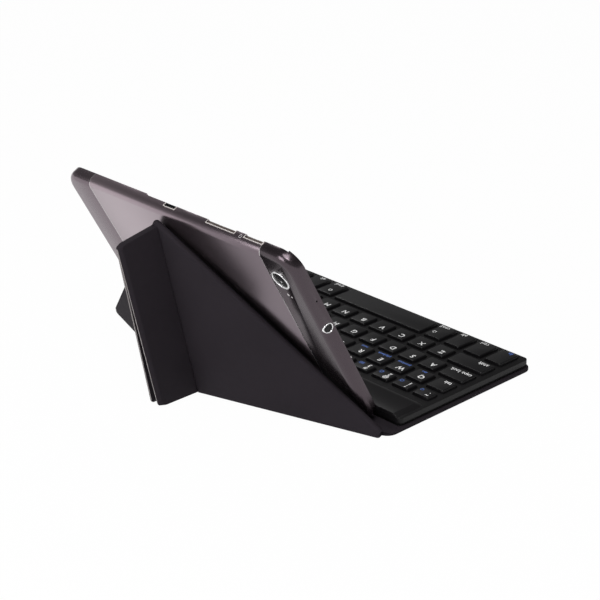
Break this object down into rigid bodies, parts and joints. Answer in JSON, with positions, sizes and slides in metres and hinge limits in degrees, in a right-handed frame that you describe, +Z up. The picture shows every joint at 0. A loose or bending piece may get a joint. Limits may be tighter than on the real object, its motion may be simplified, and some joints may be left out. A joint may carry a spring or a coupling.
{
  "type": "folding tablet keyboard case",
  "caption": "Wireless keyboard in a folding cover whose rear flap folds into a tent stand, with a clip-on hard tablet shell leaning on it",
  "frame": {"origin": "middle of the base panel's underside, on the surface the case stands on", "axes": "+X to the typist's right, along the long side; +Y away from the typist, towards the stand; +Z up"},
  "size_m": [0.2436, 0.2097, 0.121],
  "materials": {
    "key_plastic": "fine matt black key plastic",
    "cover_leather": "smooth matt black imitation leather",
    "stiff_board": "grey-brown pressed board",
    "case_plastic": "satin black moulded plastic",
    "bar_plastic": "satin black moulded plastic",
    "plate_steel": "rolled sheet steel",
    "membrane_film": "milky film",
    "dome_rubber": "pale silicone rubber",
    "board_laminate": "green laminate",
    "battery_foil": "silver foil pouch",
    "module_shield": "tinned shield",
    "socket_metal": "plated steel",
    "switch_plastic": "black plastic",
    "light_plastic": "clear light guide",
    "screw_steel": "plated steel",
    "grip_felt": "black microfibre over foam",
    "shell_body_plastic": "gloss taupe grey lacquer",
    "shell_cap_plastic": "gloss dark taupe lacquer",
    "seam_metal": "bright seam line",
    "ring_metal": "polished ring",
    "window_plastic": "black window",
    "liner_felt": "black felt",
    "shell_button_plastic": "dark brown-grey button"
  },
  "bodies": {
    "keyboard_base": {"base_skin": "cover_leather", "base_board": "stiff_board", "lower_case": "case_plastic", "upper_case": "case_plastic", "rest_bar": "bar_plastic", "backing_plate": "plate_steel", "membrane_sheet": "membrane_film", "rubber_domes": "dome_rubber", "circuit_board": "board_laminate", "battery": "battery_foil", "radio_module": "module_shield", "charge_socket": "socket_metal", "status_light": "light_plastic", "case_screws": "screw_steel"},
    "centre_flap": {"centre_panel_skin": "cover_leather", "centre_panel_board": "stiff_board", "grip_pad": "grip_felt"},
    "left_flap": {"left_fold_skin": "cover_leather", "left_fold_board": "stiff_board"},
    "right_flap": {"right_fold_skin": "cover_leather", "right_fold_board": "stiff_board"},
    "left_fin": {"left_strip_skin": "cover_leather", "left_strip_board": "stiff_board"},
    "right_fin": {"right_strip_skin": "cover_leather", "right_strip_board": "stiff_board"},
    "tablet_shell": {"shell_centre": "shell_body_plastic", "shell_left_cap": "shell_cap_plastic", "shell_right_cap": "shell_cap_plastic", "seam_trims": "seam_metal", "camera_ring": "ring_metal", "camera_window": "window_plastic", "shell_liner": "liner_felt", "infrared_window": "window_plastic"},
    "switch_knob": {"power_switch": "switch_plastic"},
    "pairing_plunger": {"pairing_button": "switch_plastic"},
    "volume_rocker": {"volume_button": "shell_button_plastic"},
    "power_plunger": {"power_button": "shell_button_plastic"},
    "fn_key_body": {"fn_key": "key_plastic"},
    "ctrl_key_body": {"ctrl_key": "key_plastic"},
    "left_alt_key_body": {"left_alt_key": "key_plastic"},
    "left_cmd_key_body": {"left_cmd_key": "key_plastic"},
    "space_bar_body": {"space_bar": "key_plastic"},
    "right_cmd_key_body": {"right_cmd_key": "key_plastic"},
    "right_alt_key_body": {"right_alt_key": "key_plastic"},
    "arrow_keys_body": {"arrow_keys": "key_plastic"},
    "left_shift_key_body": {"left_shift_key": "key_plastic"},
    "lower_letter_keys_body": {"lower_letter_keys": "key_plastic"},
    "right_shift_key_body": {"right_shift_key": "key_plastic"},
    "caps_lock_key_body": {"caps_lock_key": "key_plastic"},
    "home_letter_keys_body": {"home_letter_keys": "key_plastic"},
    "enter_key_body": {"enter_key": "key_plastic"},
    "tab_key_body": {"tab_key": "key_plastic"},
    "top_letter_keys_body": {"top_letter_keys": "key_plastic"},
    "backslash_key_body": {"backslash_key": "key_plastic"},
    "grave_key_body": {"grave_key": "key_plastic"},
    "number_keys_body": {"number_keys": "key_plastic"},
    "backspace_key_body": {"backspace_key": "key_plastic"}
  },
  "joints": [
    {"name": "fn_key_press", "type": "slide", "parent": "keyboard_base", "child": "fn_key_body", "axis": [0, 0, 1], "range_m": [-0.0012, 0], "stiffness_N_per_m": 400, "springref_m": 0.0008},
    {"name": "ctrl_key_press", "type": "slide", "parent": "keyboard_base", "child": "ctrl_key_body", "axis": [0, 0, 1], "range_m": [-0.0012, 0], "stiffness_N_per_m": 400, "springref_m": 0.0008},
    {"name": "left_alt_key_press", "type": "slide", "parent": "keyboard_base", "child": "left_alt_key_body", "axis": [0, 0, 1], "range_m": [-0.0012, 0], "stiffness_N_per_m": 400, "springref_m": 0.0008},
    {"name": "left_cmd_key_press", "type": "slide", "parent": "keyboard_base", "child": "left_cmd_key_body", "axis": [0, 0, 1], "range_m": [-0.0012, 0], "stiffness_N_per_m": 400, "springref_m": 0.0008},
    {"name": "space_bar_press", "type": "slide", "parent": "keyboard_base", "child": "space_bar_body", "axis": [0, 0, 1], "range_m": [-0.0012, 0], "stiffness_N_per_m": 400, "springref_m": 0.0008},
    {"name": "right_cmd_key_press", "type": "slide", "parent": "keyboard_base", "child": "right_cmd_key_body", "axis": [0, 0, 1], "range_m": [-0.0012, 0], "stiffness_N_per_m": 400, "springref_m": 0.0008},
    {"name": "right_alt_key_press", "type": "slide", "parent": "keyboard_base", "child": "right_alt_key_body", "axis": [0, 0, 1], "range_m": [-0.0012, 0], "stiffness_N_per_m": 400, "springref_m": 0.0008},
    {"name": "arrow_keys_press", "type": "slide", "parent": "keyboard_base", "child": "arrow_keys_body", "axis": [0, 0, 1], "range_m": [-0.0012, 0], "stiffness_N_per_m": 400, "springref_m": 0.0008},
    {"name": "left_shift_key_press", "type": "slide", "parent": "keyboard_base", "child": "left_shift_key_body", "axis": [0, 0, 1], "range_m": [-0.0012, 0], "stiffness_N_per_m": 400, "springref_m": 0.0008},
    {"name": "lower_letter_keys_press", "type": "slide", "parent": "keyboard_base", "child": "lower_letter_keys_body", "axis": [0, 0, 1], "range_m": [-0.0012, 0], "stiffness_N_per_m": 400, "springref_m": 0.0008},
    {"name": "right_shift_key_press", "type": "slide", "parent": "keyboard_base", "child": "right_shift_key_body", "axis": [0, 0, 1], "range_m": [-0.0012, 0], "stiffness_N_per_m": 400, "springref_m": 0.0008},
    {"name": "caps_lock_key_press", "type": "slide", "parent": "keyboard_base", "child": "caps_lock_key_body", "axis": [0, 0, 1], "range_m": [-0.0012, 0], "stiffness_N_per_m": 400, "springref_m": 0.0008},
    {"name": "home_letter_keys_press", "type": "slide", "parent": "keyboard_base", "child": "home_letter_keys_body", "axis": [0, 0, 1], "range_m": [-0.0012, 0], "stiffness_N_per_m": 400, "springref_m": 0.0008},
    {"name": "enter_key_press", "type": "slide", "parent": "keyboard_base", "child": "enter_key_body", "axis": [0, 0, 1], "range_m": [-0.0012, 0], "stiffness_N_per_m": 400, "springref_m": 0.0008},
    {"name": "tab_key_press", "type": "slide", "parent": "keyboard_base", "child": "tab_key_body", "axis": [0, 0, 1], "range_m": [-0.0012, 0], "stiffness_N_per_m": 400, "springref_m": 0.0008},
    {"name": "top_letter_keys_press", "type": "slide", "parent": "keyboard_base", "child": "top_letter_keys_body", "axis": [0, 0, 1], "range_m": [-0.0012, 0], "stiffness_N_per_m": 400, "springref_m": 0.0008},
    {"name": "backslash_key_press", "type": "slide", "parent": "keyboard_base", "child": "backslash_key_body", "axis": [0, 0, 1], "range_m": [-0.0012, 0], "stiffness_N_per_m": 400, "springref_m": 0.0008},
    {"name": "grave_key_press", "type": "slide", "parent": "keyboard_base", "child": "grave_key_body", "axis": [0, 0, 1], "range_m": [-0.0012, 0], "stiffness_N_per_m": 400, "springref_m": 0.0008},
    {"name": "number_keys_press", "type": "slide", "parent": "keyboard_base", "child": "number_keys_body", "axis": [0, 0, 1], "range_m": [-0.0012, 0], "stiffness_N_per_m": 400, "springref_m": 0.0008},
    {"name": "backspace_key_press", "type": "slide", "parent": "keyboard_base", "child": "backspace_key_body", "axis": [0, 0, 1], "range_m": [-0.0012, 0], "stiffness_N_per_m": 400, "springref_m": 0.0008},
    {"name": "power_switch_slide", "type": "slide", "parent": "keyboard_base", "child": "switch_knob", "axis": [0, 1, 0], "range_m": [0, 0.0018]},
    {"name": "pairing_press", "type": "slide", "parent": "keyboard_base", "child": "pairing_plunger", "axis": [1, 0, 0], "range_m": [-0.00025, 0], "stiffness_N_per_m": 2000, "springref_m": 0.0003},
    {"name": "stand_fold", "type": "hinge", "parent": "keyboard_base", "child": "centre_flap", "pos_m": [0, 0.062, 0], "axis": [1, 0, 0], "range_deg": [-62.2, 0]},
    {"name": "left_ridge_fold", "type": "hinge", "parent": "centre_flap", "child": "left_flap", "pos_m": [-0.1218, 0.062, 0], "axis": [0.701, 0.3326, 0.6308], "range_deg": [0, 156.1]},
    {"name": "right_ridge_fold", "type": "hinge", "parent": "centre_flap", "child": "right_flap", "pos_m": [0.1218, 0.062, 0], "axis": [0.701, -0.3326, -0.6308], "range_deg": [0, 156.1]},
    {"name": "left_fin_fold", "type": "hinge", "parent": "left_flap", "child": "left_fin", "pos_m": [0, 0.11979, 0.1096], "axis": [-0.0269, -0.1896, -0.9815], "range_deg": [0, 73.2]},
    {"name": "right_fin_fold", "type": "hinge", "parent": "right_flap", "child": "right_fin", "pos_m": [0, 0.11979, 0.1096], "axis": [-0.0269, 0.1896, 0.9815], "range_deg": [0, 73.2]},
    {"name": "shell_lift", "type": "slide", "parent": "centre_flap", "child": "tablet_shell", "axis": [0, 0.4664, 0.8846], "range_m": [0, 0.02]},
    {"name": "volume_press", "type": "slide", "parent": "tablet_shell", "child": "volume_rocker", "axis": [0, 0.4664, 0.8846], "range_m": [-0.0003, 0], "stiffness_N_per_m": 1500, "springref_m": 0.0003},
    {"name": "power_press", "type": "slide", "parent": "tablet_shell", "child": "power_plunger", "axis": [0, 0.4664, 0.8846], "range_m": [-0.0003, 0], "stiffness_N_per_m": 1500, "springref_m": 0.0003}
  ],
  "couplings": [
    {"joint": "left_ridge_fold", "follows": "stand_fold", "ratio": -2.5081},
    {"joint": "right_ridge_fold", "follows": "stand_fold", "ratio": -2.5081},
    {"joint": "left_fin_fold", "follows": "stand_fold", "ratio": -1.1758},
    {"joint": "right_fin_fold", "follows": "stand_fold", "ratio": -1.1758}
  ]
}
